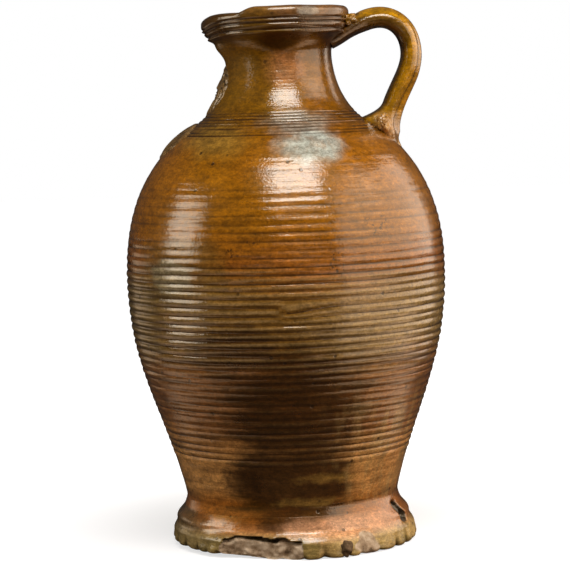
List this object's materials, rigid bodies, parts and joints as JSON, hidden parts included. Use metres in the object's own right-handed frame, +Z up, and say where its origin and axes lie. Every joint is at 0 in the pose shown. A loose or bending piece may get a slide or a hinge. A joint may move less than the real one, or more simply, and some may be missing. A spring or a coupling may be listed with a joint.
{
  "type": "stoneware jug",
  "caption": "Tall ridged salt-glazed stoneware jug with a narrow neck, beaded collar, small pulled spout, loop handle and pinched foot ring.",
  "frame": {"origin": "centre of the base, on the surface that the jug stands on", "axes": "+Z up along the pot's axis, +X towards the handle, -X towards the spout"},
  "size_m": [0.2386, 0.2386, 0.3978],
  "materials": {
    "body_glaze": "glossy brown salt glaze",
    "neck_glaze": "glossy golden brown salt glaze",
    "foot_glaze": "thin greenish tan ash glaze",
    "handle_glaze": "glossy golden ochre salt glaze",
    "sprig_glaze": "thin mottled brown glaze",
    "kiln_scar": "rough dark fired clay"
  },
  "bodies": {
    "root": {"belly": "body_glaze", "neck": "neck_glaze", "collar_rim": "neck_glaze", "foot_ring": "foot_glaze", "handle": "handle_glaze", "handle_upper_wad": "handle_glaze", "handle_lower_wad": "handle_glaze", "mask_sprig": "sprig_glaze", "leaf_sprig": "sprig_glaze", "kiln_lump": "kiln_scar"}
  },
  "joints": []
}
